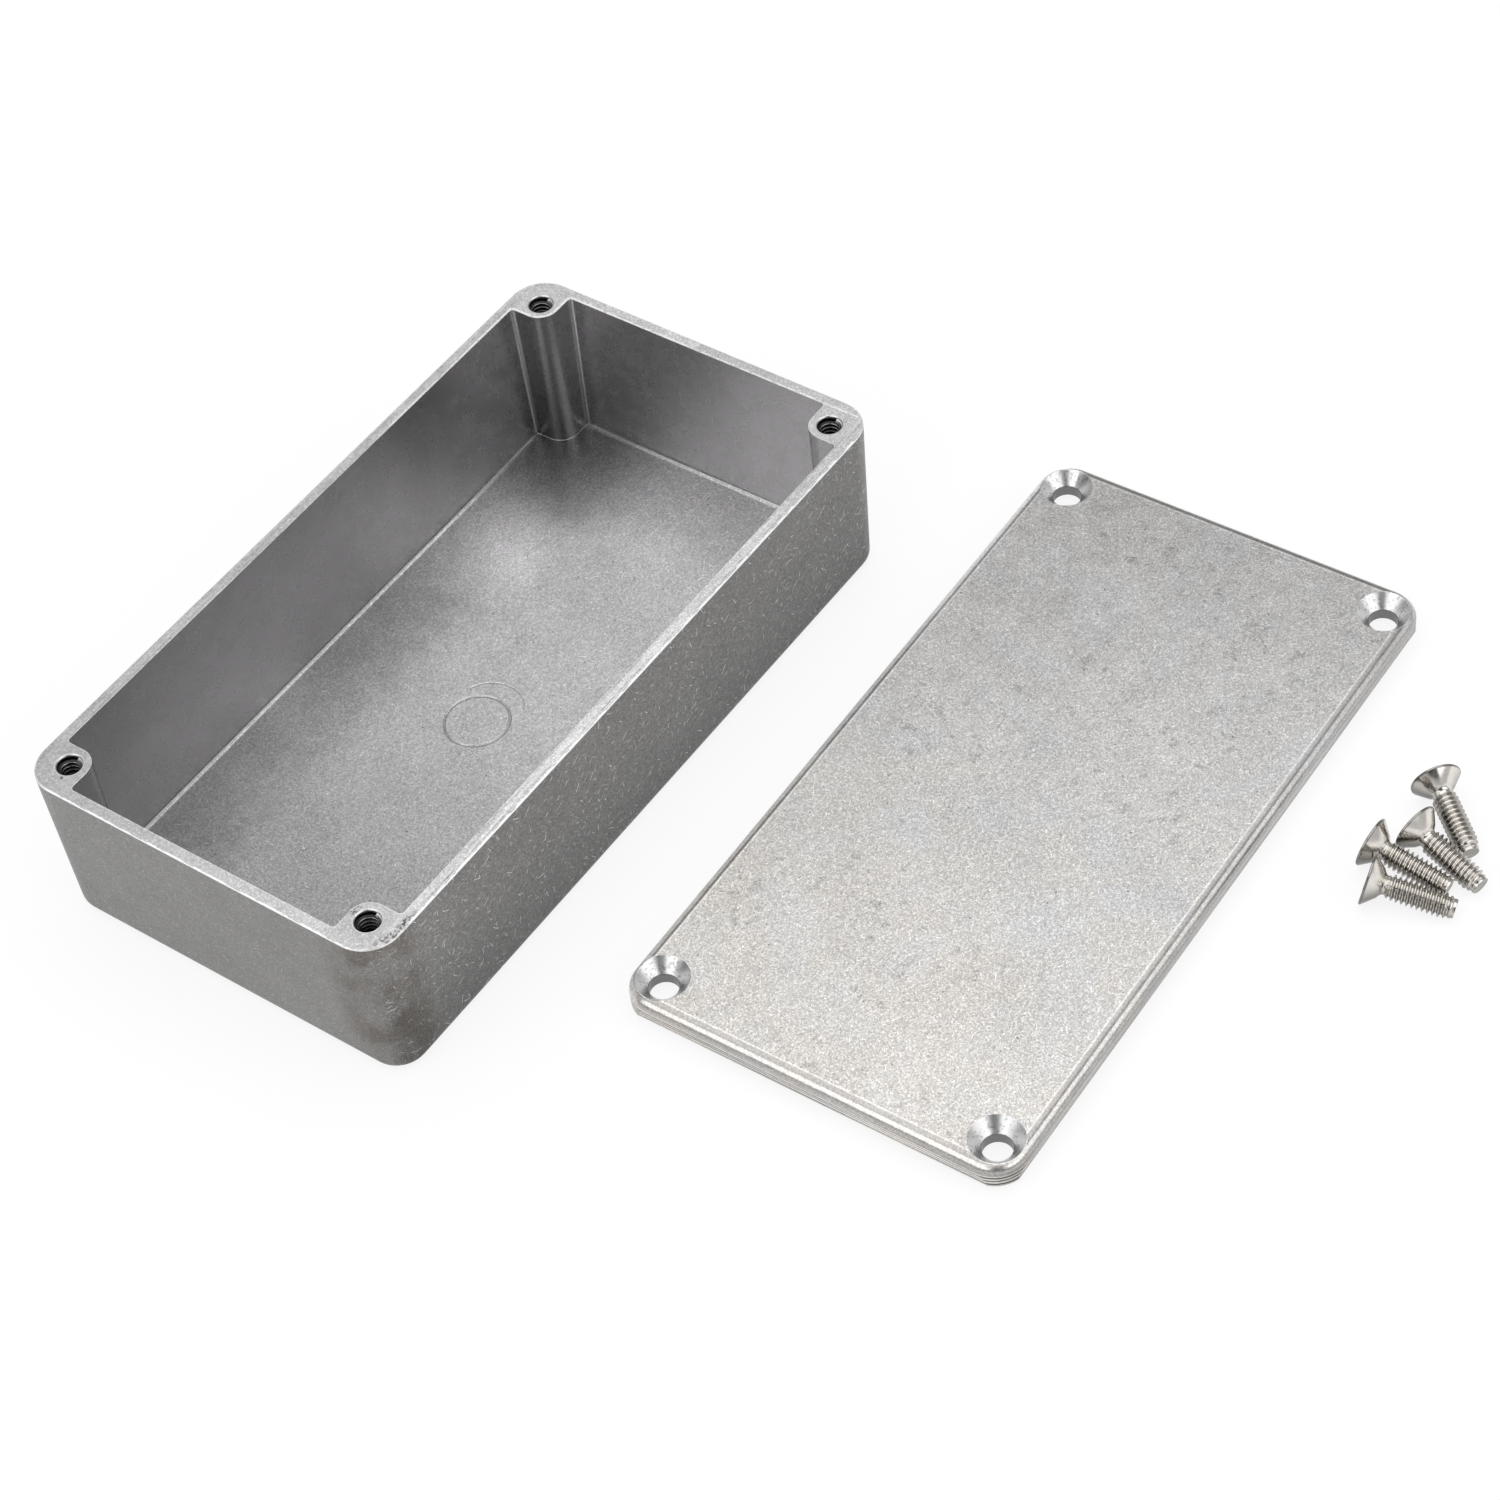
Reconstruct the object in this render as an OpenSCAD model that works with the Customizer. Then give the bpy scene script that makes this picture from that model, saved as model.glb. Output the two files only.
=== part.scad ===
// Die cast aluminium box, laid open: the box stands on its floor, the lid lies beside it with its
// outer face up, and the four countersunk screws that close it lie in a heap beyond the lid.
// Millimetres. The origin is on the surface under the middle of the box, X runs along the box
// and Z up.

/* [Box] */
// Length of the box over its rim
box_length = 112; // [90:0.5:200]
// Width of the box over its rim
box_width = 60.3; // [50:0.1:120]
// Height of the box from the surface to its rim
box_height = 26.4; // [20:0.2:60]
// Radius of the upright corners, taken at the rim
corner_radius = 5.2; // [4:0.1:8]
// Thickness of the side walls
wall = 1.75; // [1.4:0.05:2.6]
// Thickness of the floor
floor_thickness = 2; // [1.6:0.1:4]
// Draft of the walls, inside and outside, in degrees
draft = 1.8; // [0.5:0.1:2.5]
// Radius of the outer edge between walls and floor
bottom_radius = 2.1; // [1:0.1:2.5]
// Radius of the inner fillet between walls and floor
floor_fillet = 0.7; // [0.4:0.1:1.6]
// Small chamfer left by deburring the rim
rim_chamfer = 0.2; // [0.1:0.05:0.4]

/* [Bosses] */
// Distance of the screw holes from the outer faces at the rim
hole_inset = 4.85; // [4.4:0.05:6]
// Wall of each corner boss round its tapped hole
boss_wall = 1.2; // [0.9:0.05:2]
// Radius of the fillets between bosses and walls
boss_fillet = 0.7; // [0.3:0.1:1.2]
// Depth of the tapped holes below the rim
tap_depth = 14; // [10:0.5:17]
// Depth of the chamfer at the mouth of each tapped hole
tap_chamfer = 0.15; // [0.05:0.05:0.3]

/* [Marks on the floor] */
// Diameter of the mark that the ejector pin leaves
pin_mark = 9.6; // [6:0.1:12]
// Width of the pin mark's groove
mark_width = 0.3; // [0.2:0.05:0.5]
// Depth of the pin mark's groove
mark_depth = 0.12; // [0.05:0.01:0.3]
// Place of the pin mark from the middle of the box, along it
mark_place = -2.2; // [-20:0.1:20]
// Diameter of the faint second mark
second_mark = 10.2; // [6:0.1:12]
// Distance of the second mark from the first, along the box
mark_step = 2.5; // [1:0.1:5]

/* [Lid] */
// Amount by which the lid is narrower than the box
lid_setback = 0.9; // [0:0.1:1.5]
// Height of the lid's edge
lid_height = 3.6; // [3:0.1:5]
// Thickness of the lid's plate inside its lip
lid_plate = 2; // [1.2:0.1:2.6]
// Radius of the lid's upright corners
lid_corner = 4.8; // [4:0.1:6]
// Radius of the rounded upper edge
lid_bead = 1.5; // [0.6:0.1:2]
// Height of the locating lip under the lid
lip_height = 1; // [0.6:0.1:3]
// Thickness of the locating lip
lip_thickness = 1.5; // [0.8:0.1:3]
// Clearance between the lip and the inside of the box
lip_clearance = 0.3; // [0.15:0.05:0.6]
// Height of each of the three steps that trimming leaves on the straight sides
trim_height = 0.6; // [0.3:0.05:0.7]
// Depth of each of these steps
trim_depth = 0.1; // [0.05:0.01:0.15]

/* [Screws] */
// Outer diameter of the screws' thread
thread_diameter = 3.5; // [3:0.1:4]
// Length of a screw over all
screw_length = 12; // [9:0.5:14]
// Diameter of the screw head
head_diameter = 7; // [6:0.1:7.6]
// Thickness of the cylindrical rim of the head
head_land = 0.3; // [0.1:0.05:0.5]
// Angle of the countersunk head and of its seat in the lid
head_angle = 82; // [80:1:100]
// Length of the tapered lead of the thread
lead_length = 1.6; // [0.8:0.1:2.5]
// Diameter of the blunt end
end_diameter = 2.7; // [2:0.1:3]
// Clearance of the screw in its hole through the lid, in diameter
hole_clearance = 0.6; // [0.3:0.05:1]
// Amount by which the countersink is wider than the head
seat_margin = 0.5; // [0.2:0.05:0.8]
// Length of the cross recess over its wings
recess_span = 3.8; // [2.5:0.1:5]
// Width of the wings of the recess
recess_width = 0.8; // [0.5:0.05:1.2]
// Depth of the recess
recess_depth = 1.6; // [1:0.1:2]

/* [Layout] */
// Gap between the box and the lid beside it
lid_gap = 14.6; // [4:0.1:40]
// Shift of the lid along the box
lid_shift = 24.9; // [-20:0.1:60]
// Turn of the lid as it lies, in degrees
lid_turn = 1.3; // [-5:0.1:5]
// Gap between the lid and the place where the tips of the screws gather
heap_gap = 27.2; // [24:0.1:60]
// Shift of that place along the box
heap_shift = 39.6; // [0:0.1:60]
// Where the head of screw 1 lies from the gathered tips, along the box and across it
screw_1_place = [14.5, 12.7]; // [-30:0.1:30]
// Which way the shank of screw 1 points, in degrees from the box's length
screw_1_turn = -129; // [-180:0.5:180]
// Where the head of screw 2 lies from the gathered tips
screw_2_place = [5.9, 11.2]; // [-30:0.1:30]
// Which way the shank of screw 2 points
screw_2_turn = -104.5; // [-180:0.5:180]
// Where the head of screw 3 lies from the gathered tips
screw_3_place = [0.7, 14.9]; // [-30:0.1:30]
// Which way the shank of screw 3 points
screw_3_turn = -91; // [-180:0.5:180]
// Where the head of screw 4 lies from the gathered tips
screw_4_place = [-5, 12.2]; // [-30:0.1:30]
// Which way the shank of screw 4 points
screw_4_turn = -76; // [-180:0.5:180]

/* [Hidden] */
$fn = 96;
eps = 0.01;
// more than any cut needs to run past a face
past = 1;

// box; what is worked out with the draft is snapped to a micron, so that straights and corners meet
slope = tan(draft);
function snap(x) = round(x * 1000) / 1000;
half_length = box_length / 2;
half_width = box_width / 2;
hole_x = half_length - hole_inset;
hole_y = half_width - hole_inset;
boss_radius = thread_diameter / 2 + boss_wall;
cavity_depth = box_height - floor_thickness;
// the corners narrow with the draft, and the round edge under them stays within half of what is left
foot_radius = min(bottom_radius, snap((corner_radius - box_height * slope) / 2 - 0.05));

// lid
lid_length = box_length;
lid_width = box_width - lid_setback;
through_diameter = thread_diameter + hole_clearance;
seat_diameter = head_diameter + seat_margin;
lid_y = -half_width - lid_gap - lid_width / 2;
trim_steps = 3;

// screws
head_depth = head_land + (head_diameter - thread_diameter) / 2 / tan(head_angle / 2);
lead_start = screw_length - lead_length;
// angle at which a screw lies, resting on the rim of its head and the end of its full thread
lie = atan((head_diameter - thread_diameter) / 2 / (lead_start - head_land));
lie_height = head_diameter / 2 * cos(lie) + head_land * sin(lie);
heap_y = lid_y - lid_width / 2 - heap_gap;

// ---- profiles and plans

// A drafted, round-bottomed side, from the middle out to the reach that it has at the top. It
// leans in with the draft as far as the round edge, which takes it over to the bottom.
module side_profile(reach, height, radius, chamfer) {
    side = reach - snap((height - radius) * slope);
    polygon([[0, 0], [side - radius, 0], [side - radius, radius], [side, radius],
        [reach - snap(chamfer * slope), height - chamfer], [reach - chamfer, height], [0, height]]);
    intersection() {
        translate([side - radius, radius]) circle(radius);
        translate([side - radius, 0]) square(radius);
    }
}

// The round-topped side of the lid's edge.
module edge_profile(reach, height, radius) {
    polygon([[0, 0], [reach, 0], [reach, height - radius], [reach - radius, height - radius],
        [reach - radius, height], [0, height]]);
    translate([reach - radius, height - radius]) circle(radius);
}

// A block with a moulded side all round: the side's profile is extruded along the straights and
// turned through a quarter at each corner. Child 0 is the profile at the length's end, child 1 at
// the width's side, child 2 at the corner, each from the middle or the corner's centre outward.
module moulded_block(length, width, radius) {
    straight_x = length - 2 * radius;
    straight_y = width - 2 * radius;
    along_y(straight_y) children(0);
    rotate(90) along_y(straight_x) children(1);
    for (i = [0, 1], j = [0, 1])
        mirror([i, 0, 0]) mirror([0, j, 0])
            translate([straight_x / 2, straight_y / 2, 0]) rotate_extrude(angle = 90) children(2);
}

// Half a profile drawn on both sides of the middle and extruded along Y about the middle.
module along_y(length) {
    translate([0, length / 2, 0]) rotate([90, 0, 0]) linear_extrude(length)
        for (side = [0, 1]) mirror([side, 0]) children();
}

module at_holes() {
    for (i = [-1, 1], j = [-1, 1]) translate([i * hole_x, j * hole_y, 0]) children();
}

// One corner boss in plan, at the hole of the +X +Y corner, grown by a gap: a round nose that
// runs out square to both walls.
module boss_plan(gap) {
    grown = boss_radius + gap;
    run = hole_inset;
    circle(grown);
    translate([-grown, 0]) square([grown + run, run]);
    translate([0, -grown]) square([run, grown + run]);
}

module at_corners() {
    for (i = [0, 1], j = [0, 1]) mirror([i, 0, 0]) mirror([0, j, 0]) translate([hole_x, hole_y, 0]) children();
}

// The mouth of the box in plan, drawn in by a gap from walls and bosses.
module mouth_plan(gap) {
    difference() {
        square([box_length - 2 * (wall + gap), box_width - 2 * (wall + gap)], center = true);
        at_corners() boss_plan(gap);
    }
}

// ---- box

module box_outside() {
    moulded_block(box_length, box_width, corner_radius) {
        side_profile(half_length, box_height, foot_radius, rim_chamfer);
        side_profile(half_width, box_height, foot_radius, rim_chamfer);
        side_profile(corner_radius, box_height, foot_radius, rim_chamfer);
    }
}

// The hollow before the bosses stand in it: the two drafted channels that cross.
module cavity() {
    translate([0, 0, floor_thickness]) intersection() {
        along_y(box_width) channel_profile(half_length - wall);
        rotate(90) along_y(box_length) channel_profile(half_width - wall);
    }
}

module channel_profile(reach) {
    side_profile(reach + snap(past * slope), cavity_depth + past, floor_fillet, eps);
}

// A boss with the fillets that lead its flanks into the leaning walls. They are a little fuller
// than tangent ones, so they end in a clean line.
module boss() {
    linear_extrude(box_height + 2 * past) boss_plan(0);
    for (swap = [0, 1]) mirror([swap, -swap, 0])
        translate([-boss_radius, hole_inset - wall, box_height]) rotate([-draft, 0, 0])
            translate([0, 0, -box_height]) linear_extrude(box_height + 2 * past) difference() {
                translate([-boss_fillet, -boss_fillet]) square(boss_fillet + eps);
                translate([-boss_fillet, -boss_fillet]) circle(boss_fillet / cos(15));
            }
}

module tapped_hole() {
    translate([0, 0, box_height - tap_depth]) cylinder(d = thread_diameter, h = tap_depth + past);
    translate([0, 0, box_height - tap_chamfer])
        cylinder(d1 = thread_diameter, d2 = thread_diameter + 2 * (tap_chamfer + past), h = tap_chamfer + past);
}

// The ring that the ejector pin leaves, and the arc of a second one beside it.
module floor_marks() {
    translate([mark_place, 0, floor_thickness - mark_depth]) {
        rotate_extrude() translate([pin_mark / 2 - mark_width, 0]) square([mark_width, mark_depth + past]);
        translate([mark_step, 0, mark_depth / 2]) rotate(-60) rotate_extrude(angle = 128)
            translate([(second_mark - mark_width) / 2, 0]) square([mark_width / 2, mark_depth + past]);
    }
}

module box_body() {
    color([0.66, 0.66, 0.67]) difference() {
        box_outside();
        difference() {
            cavity();
            at_corners() boss();
        }
        at_holes() tapped_hole();
        floor_marks();
    }
}

// ---- lid

module lid_blank() {
    moulded_block(lid_length, lid_width, lid_corner) {
        edge_profile(lid_length / 2, lid_height, lid_bead);
        edge_profile(lid_width / 2, lid_height, lid_bead);
        edge_profile(lid_corner, lid_height, lid_bead);
    }
}

// The steps that trimming leaves along the four straight sides, deepest at the bottom. They run
// out where the corners turn away.
module trim_cuts() {
    for (turn = [0, 180], step = [1 : trim_steps]) rotate(turn) {
        depth = step * trim_depth;
        top = (trim_steps + 1 - step) * trim_height;
        translate([lid_length / 2 - depth, -lid_width, -past]) cube([past, 2 * lid_width, top + past]);
        translate([-lid_length, lid_width / 2 - depth, -past]) cube([2 * lid_length, past, top + past]);
    }
}

module screw_seat() {
    cone = (seat_diameter - through_diameter) / 2 / tan(head_angle / 2);
    translate([0, 0, -past]) cylinder(d = through_diameter, h = lid_height + 2 * past);
    translate([0, 0, lid_height - cone]) cylinder(d1 = through_diameter, d2 = seat_diameter, h = cone);
    translate([0, 0, lid_height - eps]) cylinder(d = seat_diameter, h = past);
}

module lid_flat() {
    difference() {
        union() {
            difference() {
                lid_blank();
                trim_cuts();
            }
            translate([0, 0, -lip_height]) linear_extrude(lip_height + eps) mouth_plan(lip_clearance);
        }
        translate([0, 0, -lip_height - past]) linear_extrude(lip_height + past + lid_height - lid_plate)
            mouth_plan(lip_clearance + lip_thickness);
        at_holes() screw_seat();
    }
}

module lid() {
    color([0.75, 0.75, 0.74]) translate([lid_shift, lid_y, lip_height]) rotate(lid_turn) lid_flat();
}

// ---- screws

// One screw with the middle of its head's face at the origin and its shank along X.
module screw() {
    rotate([0, 90, 0]) difference() {
        rotate_extrude() polygon([[0, 0], [head_diameter / 2, 0], [head_diameter / 2, head_land],
            [thread_diameter / 2, head_depth], [thread_diameter / 2, lead_start],
            [end_diameter / 2, screw_length], [0, screw_length]]);
        for (turn = [0, 90]) rotate(turn)
            translate([-recess_span / 2, -recess_width / 2, -past]) cube([recess_span, recess_width, past + recess_depth / 2]);
        translate([0, 0, -eps]) cylinder(d1 = recess_span * 0.62, d2 = recess_width, h = recess_depth);
    }
}

module lying_screw(place, turn) {
    color([0.8, 0.79, 0.76]) translate([heap_shift + place[0], heap_y + place[1], lie_height])
        rotate([0, lie, turn]) screw();
}

module screw_1() { lying_screw(screw_1_place, screw_1_turn); }
module screw_2() { lying_screw(screw_2_place, screw_2_turn); }
module screw_3() { lying_screw(screw_3_place, screw_3_turn); }
module screw_4() { lying_screw(screw_4_place, screw_4_turn); }

box_body();
lid();
screw_1();
screw_2();
screw_3();
screw_4();
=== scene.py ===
import math
from functools import partial
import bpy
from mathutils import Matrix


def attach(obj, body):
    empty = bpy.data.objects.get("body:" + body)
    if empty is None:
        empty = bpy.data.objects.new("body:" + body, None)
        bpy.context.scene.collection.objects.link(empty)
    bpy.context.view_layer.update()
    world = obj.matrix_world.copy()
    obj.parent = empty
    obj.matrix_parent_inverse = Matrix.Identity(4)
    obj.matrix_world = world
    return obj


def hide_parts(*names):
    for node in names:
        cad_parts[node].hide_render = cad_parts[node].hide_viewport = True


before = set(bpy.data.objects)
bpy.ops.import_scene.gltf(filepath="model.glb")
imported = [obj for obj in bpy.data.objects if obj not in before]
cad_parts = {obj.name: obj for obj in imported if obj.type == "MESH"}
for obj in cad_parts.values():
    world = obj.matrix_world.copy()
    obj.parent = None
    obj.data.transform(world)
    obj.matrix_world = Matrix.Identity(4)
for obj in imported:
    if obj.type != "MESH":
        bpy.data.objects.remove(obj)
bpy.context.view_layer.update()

from types import SimpleNamespace

import bmesh
import bpy
from bpy.props import FloatProperty, FloatVectorProperty, IntProperty, PointerProperty
from mathutils import Matrix, Vector

bl_info = {
    "name": "Die cast aluminium box",
    "version": (1, 0, 0),
    "blender": (4, 5, 0),
    "location": "3D View > Sidebar > Cast box",
    "description": "Dresses an open die cast box, its lid and its four screws, and sets up a plain studio",
    "category": "Object",
}

MM = 0.001
IN_MM = (1 / MM, 1 / MM, 1 / MM)
BODY = "root"

# Places repeated from the part's source, in millimetres
HALF_LENGTH, HALF_WIDTH, RIM_HEIGHT = 56.0, 30.15, 26.4
WALL, RIM_CORNER = 1.75, 5.2
HOLE_X, HOLE_Y = 51.15, 25.3
LID_PLACE, LID_TURN, LID_TOP = (24.9, -74.45), 1.3, 4.6
LID_HALF_LENGTH, LID_HALF_WIDTH, LID_CORNER, LID_BEAD = 56.0, 29.7, 4.8, 1.5
LID_HEIGHT, TRIM_STEP, TRIM_STEPS = 3.6, 0.6, 3
SCREW_PLACES = {
    "screw_1": (54.1, -118.65, -129.0),
    "screw_2": (45.5, -120.15, -104.5),
    "screw_3": (40.3, -116.45, -91.0),
    "screw_4": (34.6, -119.15, -76.0),
}

# Sizes of the threads and the screws that a user wouldn't change, in millimetres
TAP_CREST, TAP_START = 1.36, 0.22
SCREW_NECK, SCREW_LEAD, HEAD_LAND, HEAD_RADIUS = 2.6, 1.6, 0.3, 3.5
RECESS_WIDTH, RECESS_REACH, RECESS_DEPTH = 0.8, 1.5, 1.6

# Where single marks lie, in millimetres from the middle of the box
EJECTOR_MARK, SECOND_ARC = (-2.2, 0.0), (0.3, 0.0)
# the first of these is the middle of a painted highlight on the floor; the far corner's floor gets painted
# shade and its walls painted light
PAINTED_FLOOR_HIGHLIGHT, FAR_CORNER = (25.0, 21.0), (54.0, 28.0)
STAINED_CORNER, STAINED_RIM = (-53.0, -27.2), (-50.5, -24.8)
GRITTY_EDGE, GRITTY_LIP = (-50.6, -29.2), (-50.4, -22.2)
RIM_DENT = (-53.42, 24.66)
RIM_BURRS = (((54.0, 18.6), (54.9, 19.1)), ((54.0, 19.5), (54.9, 20.0)))
FLOOR_SCRATCHES = (
    ((-18.8, -7.4), (-6.2, -9.9)),
    ((-4.2, -10.1), (1.0, -11.3)),
    ((-31.0, 2.6), (-25.0, 1.9)),
    ((-24.5, 9.8), (-20.2, 9.2)),
    ((-13.5, 3.2), (-10.9, 2.7)),
    ((30.0, 9.0), (34.5, 10.4)),
)

# The camera, solved from the straight edges of box and lid: pixels of the photograph, and millimetres
PHOTO_WIDTH, FOCAL_LENGTH, CAMERA_SHIFT = 1500, 3725.264, (-0.00298, 0.00007)
CAMERA_PLACE = (-242.84, -258.77, 382.83)
CAMERA_FORWARD, CAMERA_RIGHT = (0.50207, 0.43581, -0.74699), (0.57273, -0.81476, -0.09031)
AWAY, BESIDE = (0.755, 0.655, 0.0), (0.655, -0.755, 0.0)
SCENE_MIDDLE = (13, -48, 0)

SMOOTH = {"interpolation_type": "SMOOTHSTEP"}
TIMES, PLUS, MINUS = ({"operation": name} for name in ("MULTIPLY", "ADD", "SUBTRACT"))
LARGER, LESS, OVER = ({"operation": name} for name in ("MAXIMUM", "LESS_THAN", "GREATER_THAN"))
SIZE, DISTANCE = ({"operation": name} for name in ("ABSOLUTE", "DISTANCE"))
LENGTH, DOT = ({"operation": name} for name in ("LENGTH", "DOT_PRODUCT"))


def colour(hex_value):
    """An sRGB hex value as linear red, green, blue and alpha."""
    channels = [int(hex_value[i:i + 2], 16) / 255 for i in (0, 2, 4)]
    linear = [c / 12.92 if c <= 0.04045 else ((c + 0.055) / 1.055) ** 2.4 for c in channels]
    return (*linear, 1.0)


def per(size):
    """The scale of a texture whose pattern repeats about every size millimetres."""
    return 1 / size


# What a user would change


class CastBoxSettings(bpy.types.PropertyGroup):
    """Sizes and colours of the cast box, its lid and its screws"""

    inner_alloy: FloatVectorProperty(
        name="Inner alloy", description="Colour of the casting inside the box, as it left the die",
        subtype="COLOR", size=4, min=0, max=1, default=colour("A9A8A9"))
    # the outer alloy is darker than the inner one: painted shade on the outer walls
    outer_alloy: FloatVectorProperty(
        name="Outer alloy", description="Colour of the box's tumbled and handled outer walls",
        subtype="COLOR", size=4, min=0, max=1, default=colour("9D9C9B"))
    lid_alloy: FloatVectorProperty(
        name="Lid alloy", description="Colour of the ground upper face of the lid",
        subtype="COLOR", size=4, min=0, max=1, default=colour("C4C3C2"))
    nickel: FloatVectorProperty(
        name="Screw plating", description="Colour of the nickel plate on the screws",
        subtype="COLOR", size=4, min=0, max=1, default=colour("DEDAD4"))
    thread_pitch: FloatProperty(
        name="Thread pitch", description="Distance from one turn of the screw thread to the next",
        subtype="DISTANCE", unit="LENGTH", default=0.7 * MM, min=0.4 * MM, max=1.5 * MM)
    thread_outer: FloatProperty(
        name="Thread outer radius", description="Radius over the crests of the screw thread",
        subtype="DISTANCE", unit="LENGTH", default=1.75 * MM, min=1.5 * MM, max=2 * MM)
    thread_core: FloatProperty(
        name="Thread core radius", description="Radius of the screw at the root of its thread",
        subtype="DISTANCE", unit="LENGTH", default=1.28 * MM, min=1.0 * MM, max=1.6 * MM)
    head_radius: FloatProperty(
        name="Head radius", description="Radius of the countersunk screw head",
        subtype="DISTANCE", unit="LENGTH", default=HEAD_RADIUS * MM, min=3 * MM, max=3.8 * MM)
    screw_length: FloatProperty(
        name="Screw length", description="Length of a screw over all",
        subtype="DISTANCE", unit="LENGTH", default=12 * MM, min=9 * MM, max=14 * MM)
    tap_depth: FloatProperty(
        name="Tapped depth", description="Depth of the thread in the corner bosses",
        subtype="DISTANCE", unit="LENGTH", default=13.6 * MM, min=8 * MM, max=13.9 * MM)
    segments: IntProperty(
        name="Segments", description="Number of segments in one turn of a thread",
        default=48, min=16, max=96)


# Nodes. The patterns work on object coordinates that were turned to millimetres


def add(tree, kind, *values, **named):
    """Adds a node of a kind to a tree. The values go into its visible sockets in order, and each named
    one sets what bears that name. A node or a socket among them is linked. Returns the node."""
    node = tree.nodes.new("ShaderNode" + kind)
    for name in [name for name in named if hasattr(node, name)]:
        setattr(node, name, named.pop(name))
    visible = [socket for socket in node.inputs if socket.enabled]
    for socket, value in [*zip(visible, values), *((node.inputs[name], named[name]) for name in named)]:
        if isinstance(value, bpy.types.Node):
            value = next(s for s in value.outputs if s.enabled)
        if isinstance(value, bpy.types.NodeSocket):
            tree.links.new(value, socket)
        else:
            socket.default_value = value
    return node


def new_material(name):
    material = bpy.data.materials.new(name)
    material.use_nodes = True
    material.node_tree.nodes.clear()
    return material, material.node_tree


def coats(tree, ground, *layers):
    """Lays numbers over one another, each where its mask is 1."""
    for mask, value in layers:
        ground = add(tree, "Mix", mask, ground, value)
    return ground


def between(tree, value, low, high, soft):
    """1 where a value lies between two others, with soft ends."""
    new = partial(add, tree)
    return new("Math", new("MapRange", value, low - soft, low + soft, **SMOOTH),
               new("MapRange", value, high + soft, high - soft, **SMOOTH), **TIMES)


def spot(tree, plan, place, far, near, ground=0.0, peak=1.0):
    """A soft round spot: the ground further than far from a place, and the peak closer than near."""
    away = add(tree, "VectorMath", plan, (*place, 0.0), **DISTANCE)
    return add(tree, "MapRange", away, far, near, ground, peak, **SMOOTH)


def inside_outline(tree, quarter, half_length, half_width, corner):
    """How far a point of the plan's folded quarter lies inside a rectangle with round corners."""
    new = partial(add, tree)
    core = (half_length - corner, half_width - corner, 0.0)
    beyond = new("VectorMath", new("VectorMath", quarter, core, **MINUS), (0.0, 0.0, 0.0), **LARGER)
    return new("Math", corner, new("VectorMath", beyond, **LENGTH), **MINUS)


def face_coordinates(tree, position, facing):
    """Two coordinates that lie in the surface, picked by the way that the face points."""
    new = partial(add, tree)
    x, y, z = new("SeparateXYZ", position).outputs
    across, along, up = (new("Math", facing.outputs[i], **SIZE) for i in range(3))
    level = new("Math", up, 0.6, **OVER)
    side = new("Mix", new("Math", across, along, **OVER), x, y)
    return new("CombineXYZ", new("Mix", level, side, x), new("Mix", level, z, y), 0.0)


def strokes(tree, flat, cell, width, length, share, dark):
    """Short bowed strokes, one to a cell, in a share of the cells. The length counts in cells. Each stroke
    has its own direction and its own strength, from minus dark to 1."""
    new = partial(add, tree)
    cells = new("TexVoronoi", flat, Scale=per(cell), voronoi_dimensions="2D")
    offset = new("VectorMath", flat, cells.outputs["Position"], **MINUS)
    turn, bend, chance = new("SeparateColor", cells.outputs["Color"]).outputs
    local = new("VectorRotate", offset, Angle=new("Math", turn, math.tau, **TIMES), rotation_type="Z_AXIS")
    along, across, _ = new("SeparateXYZ", local).outputs
    curve = new("Math", new("Math", bend, 0.5, **MINUS), 1.6 * per(cell), **TIMES)
    bow = new("Math", new("Math", along, along, **TIMES), curve, **TIMES)
    beside = new("Math", new("Math", across, bow, **PLUS), **SIZE)
    thin = new("MapRange", beside, width / 2, 0.0, **SMOOTH)
    reach = length * cell
    within = new("MapRange", new("Math", along, **SIZE), reach, 0.6 * reach, **SMOOTH)
    strength = new("MapRange", chance, 0.0, share, -dark, 1.0)
    drawn = new("Math", strength, new("Math", chance, share, **LESS), **TIMES)
    return new("Math", new("Math", thin, within, **TIMES), drawn, **TIMES)


def line_mark(tree, flat, start, end, width):
    """1 on a straight thin mark between two places of the surface."""
    new = partial(add, tree)
    start, end = Vector(start), Vector(end)
    middle, way = (start + end) / 2, end - start
    offset = new("VectorMath", flat, (middle.x, middle.y, 0.0), **MINUS)
    local = new("VectorRotate", offset, Angle=-math.atan2(way.y, way.x), rotation_type="Z_AXIS")
    along, across, _ = new("SeparateXYZ", local).outputs
    reach = way.length / 2
    thin = new("MapRange", new("Math", across, **SIZE), width / 2, 0.0, **SMOOTH)
    within = new("MapRange", new("Math", along, **SIZE), reach, 0.8 * reach, **SMOOTH)
    return new("Math", thin, within, **TIMES)


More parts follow.
